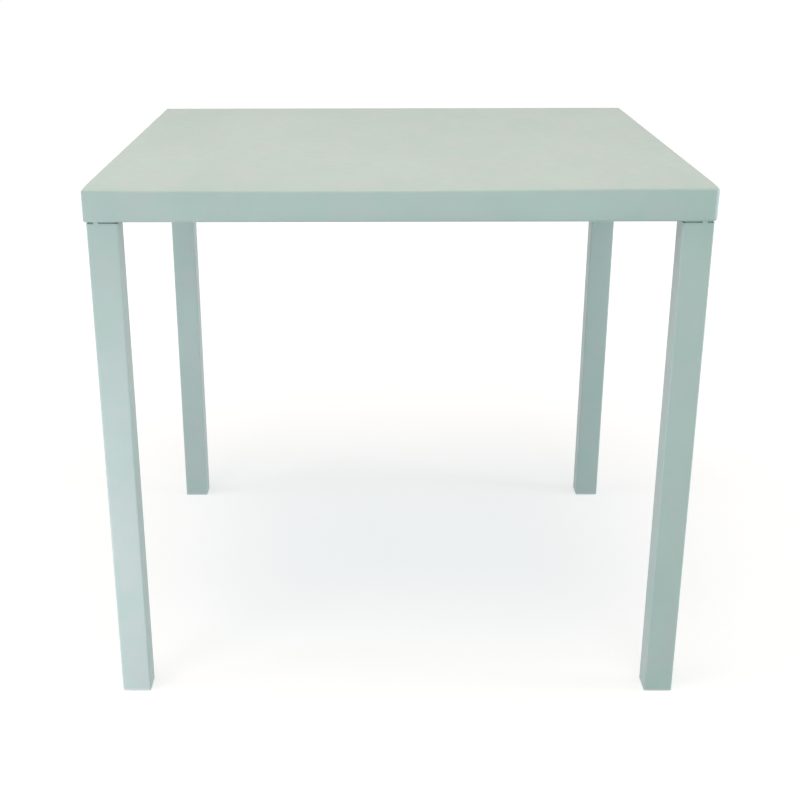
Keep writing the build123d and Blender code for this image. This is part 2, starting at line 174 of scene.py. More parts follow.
# A MapRange's sockets 1 to 4 are its limits, from and to. A Mix's 0, 6 and 7 are its share and two colours
tones = add("ValToRGB", {"Fac": blotches}, colours={0.36: coat_deep, 0.5: coat_green, 0.66: coat_pale})
mottle_share = add("MapRange", {"Value": mottle, 1: 0.4, 2: 0.7, 3: 0.0, 4: 0.22})
tint_share = add("MapRange", {"Value": tints, 1: 0.44, 2: 0.60, 3: 0.0, 4: 0.55})
tinted = add("Mix", {0: tint_share, 6: tones, 7: linear(coat_grey)}, data_type="RGBA")
mottled = add("Mix", {0: mottle_share, 6: tinted.outputs[2], 7: linear(coat_pale)}, data_type="RGBA")
rounded = add("Bevel", {"Radius": edge_reach}, samples=4)
straight = add("NewGeometry")
turned_by = add("VectorMath", {0: rounded, 1: straight.outputs["Normal"]}, operation="DOT_PRODUCT")
on_edge = add("MapRange", {"Value": turned_by.outputs["Value"], 1: 0.985, 2: 0.86, 3: 0.0, 4: 1.0})
rub_limit = add("MapRange", {"Value": rub_patches, 1: 0.42, 2: 0.68, 3: 0.15, 4: 0.8})
rubbed_share = add("Math", {0: on_edge, 1: rub_limit}, operation="MULTIPLY")
colour = add("Mix", {0: rubbed_share, 6: mottled.outputs[2], 7: linear(coat_rubbed)}, data_type="RGBA")
gloss = add("MapRange", {"Value": mottle, 1: 0.3, 2: 0.7, 3: 0.40, 4: 0.50})
waved = add("Bump", {"Height": waves, "Strength": 1.0, "Distance": 0.00018})
peeled = add("Bump", {"Height": peel, "Strength": 0.5, "Distance": 0.00006, "Normal": waved})
skin = add("BsdfPrincipled", {
    "Base Color": colour.outputs[2], "Roughness": gloss, "Normal": peeled, "IOR": 1.5,
})
add("OutputMaterial", {"Surface": skin})


def stations_round(x_ends, half_y, corner_radii, marks):
    """Places round a tray's edge, anticlockwise from its right rear corner: arcs, and runs between them."""
    middle = Vector(((x_ends[0] + x_ends[1]) / 2, 0))
    half = Vector(((x_ends[1] - x_ends[0]) / 2, half_y))
    ways = [Vector(way) for way in ((1, 1), (-1, 1), (-1, -1), (1, -1))]
    stations = []
    for number, way in enumerate(ways):
        next_way = ways[(number + 1) % 4]
        along = (next_way - way).normalized()
        away = Vector((along.y, -along.x))
        half_run, half_across = (half.x, half.y) if along.x else (half.y, half.x)
        first, last = corner_radii[way.x], corner_radii[next_way.x]
        length = 2 * half_run - first - last
        runs = [first - half_run + length * step / side_steps for step in range(1, side_steps)]
        for mark in marks["ends" if along.y else "sides"]:
            for run in (-mark, mark):
                runs[min(range(len(runs)), key=lambda n: abs(runs[n] - run))] = run
        for step in range(corner_steps):
            angle = math.pi / 2 * (number + step / (corner_steps - 1))
            out = Vector((math.cos(angle), math.sin(angle)))
            spot = SimpleNamespace(run=None, out=out, way=way, half=half, own=first, left=0.0)
            stations.append(spot)
        for run in runs:
            own, left = first if run < 0 else last, half_run - abs(run)
            spot = SimpleNamespace(run=run, away=away, along=along, way=None, own=own, left=left)
            spot.half_run, spot.half_across = half_run, half_across
            stations.append(spot)
    for spot in stations:
        spot.middle = middle
    return stations


def spot_at(station, depth, corner):
    """The plan place of a station, at a depth inside the tray's edge."""
    radius = max(corner, depth + least_radius)
    if station.run is None:
        centre = station.middle + (station.half - Vector((radius, radius))) * station.way
        return centre + station.out * (radius - depth)
    squeeze = (station.half_run - radius) / (station.half_run - station.own)
    edge = station.middle + station.away * (station.half_across - depth)
    return edge + station.along * station.run * squeeze


def fold_rows(top, fold, corner, flat_insets):
    """Rows over a rolled edge: inset and height of the outer and the inner skin, and the corner's radius."""
    inner_fold = fold - sheet
    rows = [(inset, top, inset, top - sheet, corner) for inset in flat_insets + (fold + least_radius,)]
    for step in range(fold_steps + 1):
        angle = math.pi / 2 * step / fold_steps
        over, down = math.sin(angle), 1 - math.cos(angle)
        softened = corner + max(0.0, fold + 2 * least_radius - corner) * (1 - over**2)
        inner = (fold - inner_fold * over, top - sheet - inner_fold * down)
        rows.append((fold * (1 - over), top - fold * down, *inner, softened))
    return rows


def bend_rows(low, height, corner):
    """Rows round the bend at a skirt's lower edge."""
    rows = []
    for step in range(bend_steps + 1):
        angle = math.pi / 2 * step / bend_steps
        under, left = 1 - math.cos(angle), 1 - math.sin(angle)
        inner = (sheet + (bend_reach - sheet) * under, low + sheet + (height - sheet) * left)
        rows.append((bend_reach * under, low + height * left, *inner, corner))
    return rows


def raised(stations, rows_of, shifted):
    """A tray's outer skin as rings of points down its edge, and the inner point that belongs to each."""
    shape, rings, inner_of = bmesh.new(), [], {}
    for station in stations:
        ring = []
        for inset, height, inner_inset, inner_height, corner in rows_of(station):
            point = shape.verts.new(shifted(spot_at(station, inset, corner), height))
            inner_of[point] = shifted(spot_at(station, inner_inset, corner), inner_height)
            ring.append(point)
        rings.append(ring)
    shape.faces.new([ring[0] for ring in rings])
    for number, ring in enumerate(rings):
        onward = rings[(number + 1) % len(rings)]
        reach = min(stations[number].reach, stations[(number + 1) % len(rings)].reach)
        for row in range(reach):
            shape.faces.new((ring[row], ring[row + 1], onward[row + 1], onward[row]))
    return shape, rings, inner_of


def closed_sheet(name, shape, inner_of):
    """The mesh of a skin with its inner side and rims, from the inner point of each outer one."""
    under = {point: shape.verts.new(place) for point, place in inner_of.items() if point.link_faces}
    rims = [edge.verts[:] for edge in shape.edges if len(edge.link_faces) == 1]
    for face in list(shape.faces):
        shape.faces.new([under[point] for point in reversed(face.verts)])
    for start, end in rims:
        shape.faces.new((start, end, under[end], under[start]))
    bmesh.ops.delete(shape, geom=[point for point in shape.verts if not point.link_faces], context="VERTS")
    return as_mesh(name, shape)


def top_rows(station):
    """Rows of the table top at a station, from its flat to the bend at its lower edge."""
    corner_way, side_fold = station.way, 0.0
    if station.run is not None:
        corner_way = station.away + station.along * math.copysign(1, station.run)
        side_fold = front_fold if station.away.y < -0.5 else other_fold
    share = max(0.0, 1 - station.left / fold_run_out)
    corner_fold = corner_folds[round(corner_way.x), round(corner_way.y)]
    fold = side_fold + (corner_fold - side_fold) * share * share * (3 - 2 * share)
    rows = fold_rows(top_high.z, fold, station.own, top_insets)
    rows += [(0.0, height, sheet, height, station.own) for height in (slot_top, (slot_top + top_low.z) / 2)]
    at_right_corner = station.run is None and station.way.x > 0
    bend_height = right_bend_height if at_right_corner else left_bend_height
    return rows + bend_rows(top_low.z, bend_height, station.own)


def sagged(spot, height):
    """A point of the top, a little lower where the front edge sags between its corners."""
    nearness = max(0.0, 1 - (spot.y + top_high.y) / sag_reach)
    height_share = (height - top_low.z) / (top_high.z - top_low.z)
    depth_share = max(0.0, height_share - unsagged_share) / (1 - unsagged_share)
    from_middle = (spot.x - sag_middle_x) / (top_high.x - math.copysign(sag_middle_x, spot.x - sag_middle_x))
    sag = edge_sag * max(0.0, 1 - from_middle**2) * nearness**2 * depth_share
    return Vector((spot.x, spot.y, height - sag))


top_radii = {1: right_corner, -1: left_corner}
top_marks = {"ends": (slot_half_width, lip_half_run), "sides": (lip_half_run,)}
stations = stations_round((top_low.x, top_high.x), top_high.y, top_radii, top_marks)
rows_in_all = len(top_rows(stations[0])) - 1
rows_to_slot = rows_in_all - bend_steps - 2
for station in stations:
    in_slot = station.run is not None and station.away.x > 0 and abs(station.run) < slot_half_width - hair
    station.reach = rows_to_slot if in_slot else rows_in_all
shape, rings, inner_of = raised(stations, top_rows, sagged)
lips = {}
for number, station in enumerate(stations):
    onward = stations[(number + 1) % len(stations)]
    if None in (station.run, onward.run) or station.away.x > 0:
        continue
    if max(abs(station.run), abs(onward.run)) > lip_half_run + hair:
        continue
    for edge in (rings[number][-1], rings[(number + 1) % len(rings)][-1]):
        if edge not in lips:
            lips[edge] = shape.verts.new(edge.co - station.away.to_3d() * (lip_reach - bend_reach))
            inner_of[lips[edge]] = lips[edge].co + Vector((0, 0, sheet))
    start, end = rings[number][-1], rings[(number + 1) % len(rings)][-1]
    shape.faces.new((start, lips[start], lips[end], end))
table_top = new_piece("table_top_sheet", closed_sheet("table_top_sheet", shape, inner_of), coat)
settle(table_top, "root", "powder_coated_steel", "table_top")


# Stiffeners under the top
# Four shallow hat sections, pressed from 1.2 mm sheet and welded by their flanges to the underside of the
# top, so that it doesn't drum. They're coated with the top, in one go.
hat_wall, hat_bend, hat_edge = 0.0012, 0.0008, 0.00025
flange_mm, foot_mm, crown_mm = 25, 16, 13
bend_step_angle = math.radians(14)


def turned_through(way_in, way_out):
    """The angle from one plan direction to the next, positive to the left."""
    return math.atan2(way_in.x * way_out.y - way_in.y * way_out.x, way_in.dot(way_out))


def bent_outline(corners, inner_radius, thickness):
    """The outline of a bent strip's section: a line with rounded bends, and back along its left side."""
    near, far = [], []
    corners = [Vector(corner) for corner in corners]
    for number, corner in enumerate(corners):
        way_in = (corner - corners[max(number - 1, 0)]).normalized()
        way_out = (corners[min(number + 1, len(corners) - 1)] - corner).normalized()
        if number in (0, len(corners) - 1):
            way = way_out if number == 0 else way_in
            near.append(corner)
            far.append(corner + Vector((-way.y, way.x)) * thickness)
            continue
        turn = turned_through(way_in, way_out)
        radius = inner_radius + (thickness if turn > 0 else 0)
        start = corner - way_in * radius * math.tan(abs(turn) / 2)
        inward = math.copysign(radius, turn)
        centre = start + Vector((-way_in.y, way_in.x)) * inward
        steps = max(3, math.ceil(abs(turn) / bend_step_angle))
        for step in range(steps + 1):
            way = Matrix.Rotation(turn * step / steps, 2) @ way_in
            left = Vector((-way.y, way.x))
            near.append(centre - left * inward)
            far.append(near[-1] + left * thickness)
    return near + far[::-1]


def extruded(name, outlines, axes):
    """A mesh of sections run along a line: each is an outline and its two ends, on axes such as 'xzy'."""
    shape = bmesh.new()
    for outline, ends in outlines:
        faces = []
        for end in ends:
            spots = [dict(zip(axes, (*point, end))) for point in outline]
            faces.append([shape.verts.new((spot["x"], spot["y"], spot["z"])) for spot in spots])
            shape.faces.new(faces[-1])
        for number in range(len(outline)):
            last, own = faces[0][number - 1], faces[0][number]
            shape.faces.new((last, own, faces[1][number], faces[1][number - 1]))
    return as_mesh(name, shape)


def long_piece(name, node, body, outlines, axes, edge_round):
    """A coated piece of sections run along a line, which stands for a CAD node."""
    piece = new_piece(name, extruded(name, outlines, axes), coat)
    settle(finished(piece, edge_round), body, "powder_coated_steel", node)


def hat_section(name, node, body):
    """A hat section that stands for a CAD node of the same size."""
    low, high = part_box(node)
    middle, crown_z = (low.x + high.x) / 2, low.z + hat_wall
    half = [(flange_mm, high.z), (foot_mm, high.z), (crown_mm, crown_z)]
    corners = half + [(-x, z) for x, z in half[::-1]]
    outline = bent_outline([(middle + x / 1000, z) for x, z in corners], hat_bend, hat_wall)
    long_piece(name, node, body, [(outline, (low.y, high.y))], "xzy", hat_edge)


for number in (1, 2, 3, 4):
    hat_section(f"pressed_stiffener_{number}", f"top_stiffener_{number}", "root")


# Legs
# Four 40 mm square tubes of 1.5 mm wall, cold-formed and sawn square. They run up inside the corners of the
# skirt to just below the top. A narrow dark gap is left round them under the skirt, bridged by tack welds.
def geometry_tree(name, given):
    """An empty geometry tree with named inputs, and the outputs that give them inside it."""
    tree = bpy.data.node_groups.new(name, "GeometryNodeTree")
    tree.interface.new_socket("Geometry", in_out="OUTPUT", socket_type="NodeSocketGeometry")
    tree.interface.new_socket("Geometry", in_out="INPUT", socket_type="NodeSocketGeometry")
    for socket, kind in given.items():
        tree.interface.new_socket(socket, in_out="INPUT", socket_type=f"NodeSocket{kind}")
    return tree, tree.nodes.new("NodeGroupInput").outputs


def grown(name, mesh, tree, material, values, crease=50):
    """The piece that a geometry tree makes, as a plain mesh with its flats shaded flat."""
    piece = new_piece(name, mesh, material)
    modifier = piece.modifiers.new(tree.name, "NODES")
    modifier.node_group = tree
    for item in tree.interface.items_tree:
        if item.in_out == "INPUT" and item.name in values:
            modifier[item.identifier] = values[item.name]
    keep_result(piece)
    dress(piece.data, material, crease)
    return piece


weld_distance = 0.00001
tube_sizes = ("Side", "Wall", "Corner Radius", "Bore Radius", "Length")
given = {size: "Float" for size in tube_sizes} | {"Place": "Vector", "Turn": "Vector", "Finish": "Material"}
tube_tree, given = geometry_tree("square tube", given)
add = partial(add_node, tube_tree)
two_walls = add("Math", {0: given["Wall"], 1: 2.0}, operation="MULTIPLY")
bore_side = add("Math", {0: given["Side"], 1: two_walls}, operation="SUBTRACT")
rounds = []
for side, radius, steps in ((given["Side"], given["Corner Radius"], 7), (bore_side, given["Bore Radius"], 5)):
    square = add("CurvePrimitiveQuadrilateral", {"Width": side, "Height": side})
    rounds.append(add("FilletCurve", {"Curve": square, "Radius": radius, "Count": steps}, mode="POLY"))
both = add("JoinGeometry", {"Geometry": rounds})
end_face = add("FillCurve", {"Curve": both})
walls = add("ExtrudeMesh", {"Mesh": end_face, "Offset Scale": given["Length"], "Individual": False})
start_face = add("FlipFaces", {"Mesh": end_face})
whole = add("JoinGeometry", {"Geometry": [walls, start_face]})
sealed = add("MergeByDistance", {"Geometry": whole, "Distance": weld_distance})
laid = add("Transform", {"Geometry": sealed, "Translation": given["Place"], "Rotation": given["Turn"]})
real = add("RealizeInstances", {"Geometry": laid})
coated = add("SetMaterial", {"Geometry": real, "Material": given["Finish"]})
add("GroupOutput", {0: coated})

leg_corner, leg_bore_corner = 0.0025, 0.001
gap_low, gap_high, gap_share, ledge = top_low.z - 0.0021, top_low.z + 0.0003, 0.84, 0.0001
tack_inset, tack_half, tack_share = 0.0126, 0.0030, 1.05


def sink_gap(leg, middle, half_side, out_way):
    """Sinks the dark gap round a leg under the skirt. A tack weld bridges it on each face."""
    shape = bmesh.new()
    shape.from_mesh(leg.data)
    for height in (gap_low, gap_low + ledge, gap_high - ledge, gap_high):
        everything = shape.verts[:] + shape.edges[:] + shape.faces[:]
        bmesh.ops.bisect_plane(shape, geom=everything, plane_co=(0, 0, height), plane_no=(0, 0, 1))
    tack = middle + out_way * (half_side - tack_inset)
    for axis in (0, 1):
        for offset in (-tack_half - ledge, -tack_half, tack_half, tack_half + ledge):
            band = [f for f in shape.faces if gap_low < f.calc_center_median().z < gap_high]
            spot, way = [0, 0, 0], [0, 0, 0]
            spot[axis], way[axis] = tack[axis] + offset, 1
            parts = set(band).union(*(face.edges for face in band), *(face.verts for face in band))
            bmesh.ops.bisect_plane(shape, geom=list(parts), plane_co=spot, plane_no=way)
    for point in shape.verts:
        bridged = any(abs(point.co[axis] - tack[axis]) < tack_half + ledge / 2 for axis in (0, 1))
        if gap_low + ledge / 2 < point.co.z < gap_high - ledge / 2:
            point.co.xy = middle + (point.co.xy - middle) * (tack_share if bridged else gap_share)
    shape.to_mesh(leg.data)
    shape.free()
    leg.data.set_sharp_from_angle(angle=math.radians(50))


corners = {"front_left": (-1, -1), "front_right": (1, -1), "rear_left": (-1, 1), "rear_right": (1, 1)}
for corner in corners:
    low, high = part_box(f"leg_{corner}")
    side, middle = high.x - low.x, (low + high).xy / 2
    sizes = {"Side": side, "Wall": sheet, "Corner Radius": leg_corner, "Bore Radius": leg_bore_corner}
    sizes |= {"Length": high.z - low.z, "Place": (*middle, low.z)}
    name = f"tube_leg_{corner}"
    leg = grown(name, bpy.data.meshes.new(name), tube_tree, coat, sizes | {"Finish": coat})
    sink_gap(leg, middle, side / 2, Vector(corners[corner]))
    settle(finished(leg), "root", "powder_coated_steel", f"leg_{corner}")


# Foot plugs
# Moulded plugs in a paler tint of the frame's colour. A flange as wide as the leg meets the floor, and fins
# on the core grip inside the tube.

# Polyethylene: a waxy, slightly cloudy plastic with a fine eroded mould texture, which gives the eye a
# soft dull sheen. The lowest edge picks up grey scuffs from the floor.
foot_plastic, add = new_material("moulded polyethylene")
plastic_green, plastic_pale, plastic_scuff = "#BECAC8", "#C8D1D1", "#9AA19F"
place = add("TexCoord").outputs["Object"]
cloud = add("TexNoise", {"Vector": place, "Scale": 1000 / 8.0, "Detail": 2.0})
tones = add("ValToRGB", {"Fac": cloud}, colours={0: plastic_green, 1: plastic_pale})
height = add("SeparateXYZ", {"Vector": place})
near_floor = add("MapRange", {"Value": height.outputs["Z"], 1: 0.0, 2: 0.0012, 3: 0.7, 4: 0.0})
scuffs = add("TexNoise", {"Vector": place, "Scale": 1000 / 3.0, "Detail": 4.0})
scuff_share = add("Math", {0: near_floor, 1: scuffs}, operation="MULTIPLY")
colour = add("Mix", {0: scuff_share, 6: tones, 7: linear(plastic_scuff)}, data_type="RGBA")
grain = add("TexNoise", {"Vector": place, "Scale": 1000 / 0.6, "Detail": 2.0})
grained = add("Bump", {"Height": grain, "Strength": 0.6, "Distance": 0.00003})
gloss = add("MapRange", {"Value": scuffs, 1: 0.3, 2: 0.7, 3: 0.48, 4: 0.62})
skin = add("BsdfPrincipled", {
    "Base Color": colour.outputs[2], "Roughness": gloss, "IOR": 1.51, "Normal": grained,
})
add("OutputMaterial", {"Surface": skin})

# Half sides, corner radii and heights up the outside of a plug and down its hollow core, in millimetres
flange = [(19.2, 1.9, 0.0), (19.7, 2.2, 0.2), (19.95, 2.45, 0.65), (20, 2.5, 1.0), (20, 2.5, 2.6)]
flange += [(19.85, 2.4, 2.9), (19.55, 2.2, 3.0), (12.6, 1.2, 3.0), (12.0, 1.2, 3.6)]
fins = []
for fin_z in (9.5, 16.0, 22.5):
    fins += [(12, 1.2, fin_z), (17.9, 1.0, fin_z), (18.3, 1.2, fin_z + 0.5), (18.3, 1.2, fin_z + 1.0)]
    fins += [(17.6, 1.0, fin_z + 1.4), (12, 1.2, fin_z + 1.4)]
core = [(12, 1.2, 26.4), (11.5, 1.0, 27.0), (9.8, 0.8, 27.0), (9.5, 0.8, 26.6), (9.5, 0.8, 3.2)]
core += [(9.2, 0.7, 3.0)]


def rounded_square(half, radius, steps=5):
    """Points round a square with rounded corners."""
    points = []
    for number, (way_x, way_y) in enumerate(((1, 1), (-1, 1), (-1, -1), (1, -1))):
        for step in range(steps + 1):
            angle = math.pi / 2 * (number + step / steps)
            centre = Vector((way_x, way_y)) * (half - radius)
            points.append(centre + Vector((math.cos(angle), math.sin(angle))) * radius)
    return points


def lofted(name, rings, closed_ends):
    """A mesh over rings of points: its two ends are capped, or it runs from the last ring into the first."""
    shape = bmesh.new()
    rings = [[shape.verts.new(point) for point in ring] for ring in rings]
    pairs = list(zip(rings, rings[1:])) + ([] if closed_ends else [(rings[-1], rings[0])])
    for here, onward in pairs:
        for number in range(len(here)):
            shape.faces.new((here[number - 1], here[number], onward[number], onward[number - 1]))
    if closed_ends:
        shape.faces.new(rings[0])
        shape.faces.new(rings[-1])
    return as_mesh(name, shape)


for corner in corners:
    low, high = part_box(f"foot_plug_{corner}")
    middle = (low + high) / 2
    rings = []
    for half, radius, height in flange + fins + core:
        points = rounded_square(half / 1000, radius / 1000)
        rings.append([(middle.x + point.x, middle.y + point.y, height / 1000) for point in points])
    name = f"moulded_plug_{corner}"
    plug = new_piece(name, lofted(name, rings, True), foot_plastic)
    settle(finished(plug), "root", "foot_plastic", f"foot_plug_{corner}")


# Corner brackets and side rails
# Angles bent from 2.5 mm strip, welded to the long skirts and bolted to the legs, and flat bars of 26 by
# 5 mm that are welded to the angles and carry the rollers. All are coated with the top.
bracket_wall, bracket_bend, deburred, rail_edge = 0.0025, 0.0015, 0.0004, 0.0006
for corner, (side_x, side_y) in corners.items():
    low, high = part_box(f"corner_bracket_{corner}")
    ends_x, ends_y = sorted((low.x, high.x), key=abs), sorted((low.y, high.y), key=abs)
    path = [(ends_x[1], ends_y[0]), (ends_x[1], ends_y[1]), (ends_x[0], ends_y[1])]
    outline = bent_outline(path if side_x * side_y > 0 else path[::-1], bracket_bend, bracket_wall)
    outlines = [(outline, (low.z, high.z))]
    long_piece(f"bent_bracket_{corner}", f"corner_bracket_{corner}", "root", outlines, "xyz", deburred)

for side in ("front", "rear"):
    low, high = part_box(f"side_rail_{side}")
    outline = [(low.y, low.z), (high.y, low.z), (high.y, high.z), (low.y, high.z)]
    outlines = [(outline, (low.x, high.x))]
    long_piece(f"flat_rail_{side}", f"side_rail_{side}", "root", outlines, "yzx", rail_edge)


# Nut plates, bracket bolts and rail bolts
# Tapped plates inside the legs keep their CAD shape, because the tubes hide them. M6 hexagon bolts hold each
# leg to its bracket and to its rail, and no two heads stand at the same turn.

# Bright zinc plating: a thin bluish-white metal skin with a faint yellow tinge in places, which gives the
# eye small hard highlights, a fine crystal cloud and light scratches.
zinc, add = new_material("bright zinc-plated steel")
zinc_blue, zinc_white, zinc_yellow = "#AFB4B6", "#C6C9C9", "#CBC8B6"
place = add("TexCoord").outputs["Object"]
cloud = add("TexNoise", {"Vector": place, "Scale": 1000 / 4.0, "Detail": 4.0})
tones = add("ValToRGB", {"Fac": cloud}, colours={0.35: zinc_blue, 0.52: zinc_white, 0.68: zinc_yellow})
gloss = add("MapRange", {"Value": cloud, 1: 0.3, 2: 0.7, 3: 0.24, 4: 0.40})
scratched_place = add("Mapping", {"Vector": place, "Scale": (1000 / 0.25, 1000 / 3.0, 1000 / 0.6)})
scratches = add("TexNoise", {"Vector": scratched_place, "Scale": 1.0, "Detail": 2.0})
scratched = add("Bump", {"Height": scratches, "Strength": 0.35, "Distance": 0.00002})
skin = add("BsdfPrincipled", {"Base Color": tones, "Metallic": 1.0, "Roughness": gloss, "Normal": scratched})
add("OutputMaterial", {"Surface": skin})
for name in ("bracket_nut_plates", "rail_nut_plates"):
    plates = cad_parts[name]
    plates.data.materials.clear()
    plates.data.materials.append(zinc)

# The tree stands a hexagon bolt or nut on each point, on its seat, with a turn of its own about its axis
fastener_sizes = ("Across Flats", "Height", "Bore Radius", "Shank Radius", "Shank Length", "Thread Pitch")
given = {size: "Float" for size in fastener_sizes} | {"Is Nut": "Bool", "Seed": "Int", "Finish": "Material"}
fastener_tree, given = geometry_tree("hexagon fasteners", given)
add = partial(add_node, fastener_tree)
corner_share, chamfer_slope, face_share = 0.57735, 1.73205, 0.475
thread_depth_share, end_share, rows_a_pitch, shank_end = 0.16, 0.86, 4.0, -0.4999
corner_radius = add("Math", {0: given["Across Flats"], 1: corner_share}, operation="MULTIPLY")
face_radius = add("Math", {0: given["Across Flats"], 1: face_share}, operation="MULTIPLY")
double_height = add("Math", {0: given["Height"], 1: 2.0}, operation="MULTIPLY")
cone_foot = add("Math", {0: double_height, 1: chamfer_slope, 2: face_radius}, operation="MULTIPLY_ADD")
head_up = add("CombineXYZ", {"Z": given["Height"]})
twice_up = add("CombineXYZ", {"Z": double_height})
head_down = add("VectorMath", {0: head_up, 1: (-1, -1, -1)}, operation="MULTIPLY")
prism = add("MeshCylinder", {"Vertices": 6, "Radius": corner_radius, "Depth": double_height})
long_prism = add("MeshCylinder", {"Vertices": 6, "Radius": corner_radius, "Depth": cone_foot})
cone = add("MeshCone", {
    "Vertices": 60, "Radius Top": face_radius, "Radius Bottom": cone_foot, "Depth": double_height,
})
seated_prism = add("Transform", {"Geometry": prism, "Translation": head_up})
upper_cone = add("Transform", {"Geometry": cone, "Translation": head_down})
lower_cone = add("Transform", {"Geometry": cone, "Translation": twice_up, "Rotation": (math.pi, 0, 0)})
head = add("MeshBoolean", {"Mesh 2": [seated_prism, upper_cone]}, operation="INTERSECT", solver="MANIFOLD")
nut_blank = add(
    "MeshBoolean",
    {"Mesh 2": [long_prism, upper_cone, lower_cone]},
    operation="INTERSECT",
    solver="MANIFOLD",
)
bore = add("MeshCylinder", {"Vertices": 32, "Radius": given["Bore Radius"], "Depth": cone_foot})
nut = add("MeshBoolean", {"Mesh 1": nut_blank, "Mesh 2": bore}, operation="DIFFERENCE", solver="MANIFOLD")
pitches_long = add("Math", {0: given["Shank Length"], 1: given["Thread Pitch"]}, operation="DIVIDE")
shank_rows = add("Math", {0: pitches_long, 1: rows_a_pitch}, operation="MULTIPLY")
shank = add("MeshCylinder", {
    "Vertices": 20, "Side Segments": shank_rows, "Radius": given["Shank Radius"],
    "Depth": given["Shank Length"],
})
spot = add("InputPosition")
axes = add("SeparateXYZ", {"Vector": spot})
angle = add("Math", {0: axes.outputs["Y"], 1: axes.outputs["X"]}, operation="ARCTAN2")
turn_share = add("Math", {0: angle, 1: 2 * math.pi}, operation="DIVIDE")
pitches_up = add("Math", {0: axes.outputs["Z"], 1: given["Thread Pitch"]}, operation="DIVIDE")
helix = add("Math", {0: pitches_up, 1: turn_share}, operation="SUBTRACT")
flank = add("Math", {0: helix, 1: 0.5}, operation="PINGPONG")
thread_dip = add("Math", {0: flank, 1: -2 * thread_depth_share, 2: 1.0}, operation="MULTIPLY_ADD")
half_length = add("Math", {0: given["Shank Length"], 1: shank_end}, operation="MULTIPLY")
at_end = add("Math", {0: axes.outputs["Z"], 1: half_length}, operation="LESS_THAN")
taper = add("Math", {0: at_end, 1: end_share - 1, 2: 1.0}, operation="MULTIPLY_ADD")
narrowed = add("Math", {0: thread_dip, 1: taper}, operation="MULTIPLY")
shrink = add("CombineXYZ", {"X": narrowed, "Y": narrowed, "Z": 1.0})
grooved_spot = add("VectorMath", {0: spot, 1: shrink}, operation="MULTIPLY")
threaded = add("SetPosition", {"Geometry": shank, "Position": grooved_spot})
shank_drop = add("Math", {0: given["Shank Length"], 1: -0.5}, operation="MULTIPLY")
drop = add("CombineXYZ", {"Z": shank_drop})
hung = add("Transform", {"Geometry": threaded, "Translation": drop})
bolt = add("JoinGeometry", {"Geometry": [head, hung]})
chosen = add("Switch", {"Switch": given["Is Nut"], "False": bolt, "True": nut})
looks_to = add("InputNamedAttribute", {"Name": "facing"}, data_type="FLOAT_VECTOR")
aimed = add("AlignRotationToVector", {"Vector": looks_to}, axis="Z")
chance = add("RandomValue", {2: 0.0, 3: 2 * math.pi, 8: given["Seed"]}, data_type="FLOAT")
roll = add("AxisAngleToRotation", {"Axis": (0, 0, 1), "Angle": chance.outputs[1]})
rolled = add("RotateRotation", {"Rotation": aimed, "Rotate By": roll}, rotation_space="LOCAL")
copies = add("InstanceOnPoints", {"Points": given["Geometry"], "Instance": chosen, "Rotation": rolled})
real = add("RealizeInstances", {"Geometry": copies})
plated = add("SetMaterial", {"Geometry": real, "Material": given["Finish"]})
add("GroupOutput", {0: plated})


def fasteners(thread, node, body, seats, sizes, seed):
    """Bolts or nuts that stand for a CAD node. A seat is a point, and the way that the fastener looks."""
    name = f"{thread}_{node}"
    points = bpy.data.meshes.new(name)
    points.from_pydata([point for point, way in seats], [], [])
    ways = points.attributes.new("facing", "FLOAT_VECTOR", "POINT")
    ways.data.foreach_set("vector", [share for point, way in seats for share in way])
    values = {size: value / 1000 for size, value in sizes.items()}
    values |= {"Is Nut": "Bore Radius" in sizes, "Seed": seed, "Finish": zinc}
    piece = grown(name, points, fastener_tree, zinc, values, crease=22)
    settle(piece, body, "zinc_plated_steel", node)


def seats_on_sides(x_places, y, z, side_way=-1):
    """Seats on both long sides of the table. They look towards its middle, or for a side way of 1 away."""
    return [((x, side * y, z), (0, side_way * side, 0)) for side in (-1, 1) for x in x_places]


leg_low, leg_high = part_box("leg_rear_right")
leg_middle = (leg_low + leg_high) / 2
rail_low, rail_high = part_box("side_rail_rear")
axle_z = (rail_low.z + rail_high.z) / 2
leg_places = (-leg_middle.x, leg_middle.x)
m6_bolt = {"Across Flats": 10, "Height": 4, "Shank Radius": 3, "Thread Pitch": 1}
m6_nut = {"Across Flats": 10, "Height": 5, "Bore Radius": 3.05}
bolt_lift = 0.008
bracket_seats = [
    ((side_x * (leg_low.x - bracket_wall), side_y * leg_middle.y, axle_z + lift), (-side_x, 0, 0))
    for side_x, side_y in corners.values()
    for lift in (-bolt_lift, bolt_lift)
]
fasteners("m6", "bracket_bolts", "root", bracket_seats, m6_bolt | {"Shank Length": 10}, 11)
rail_seats = seats_on_sides(leg_places, rail_low.y, axle_z)
fasteners("m6", "rail_bolts", "root", rail_seats, m6_bolt | {"Shank Length": 12.5}, 12)


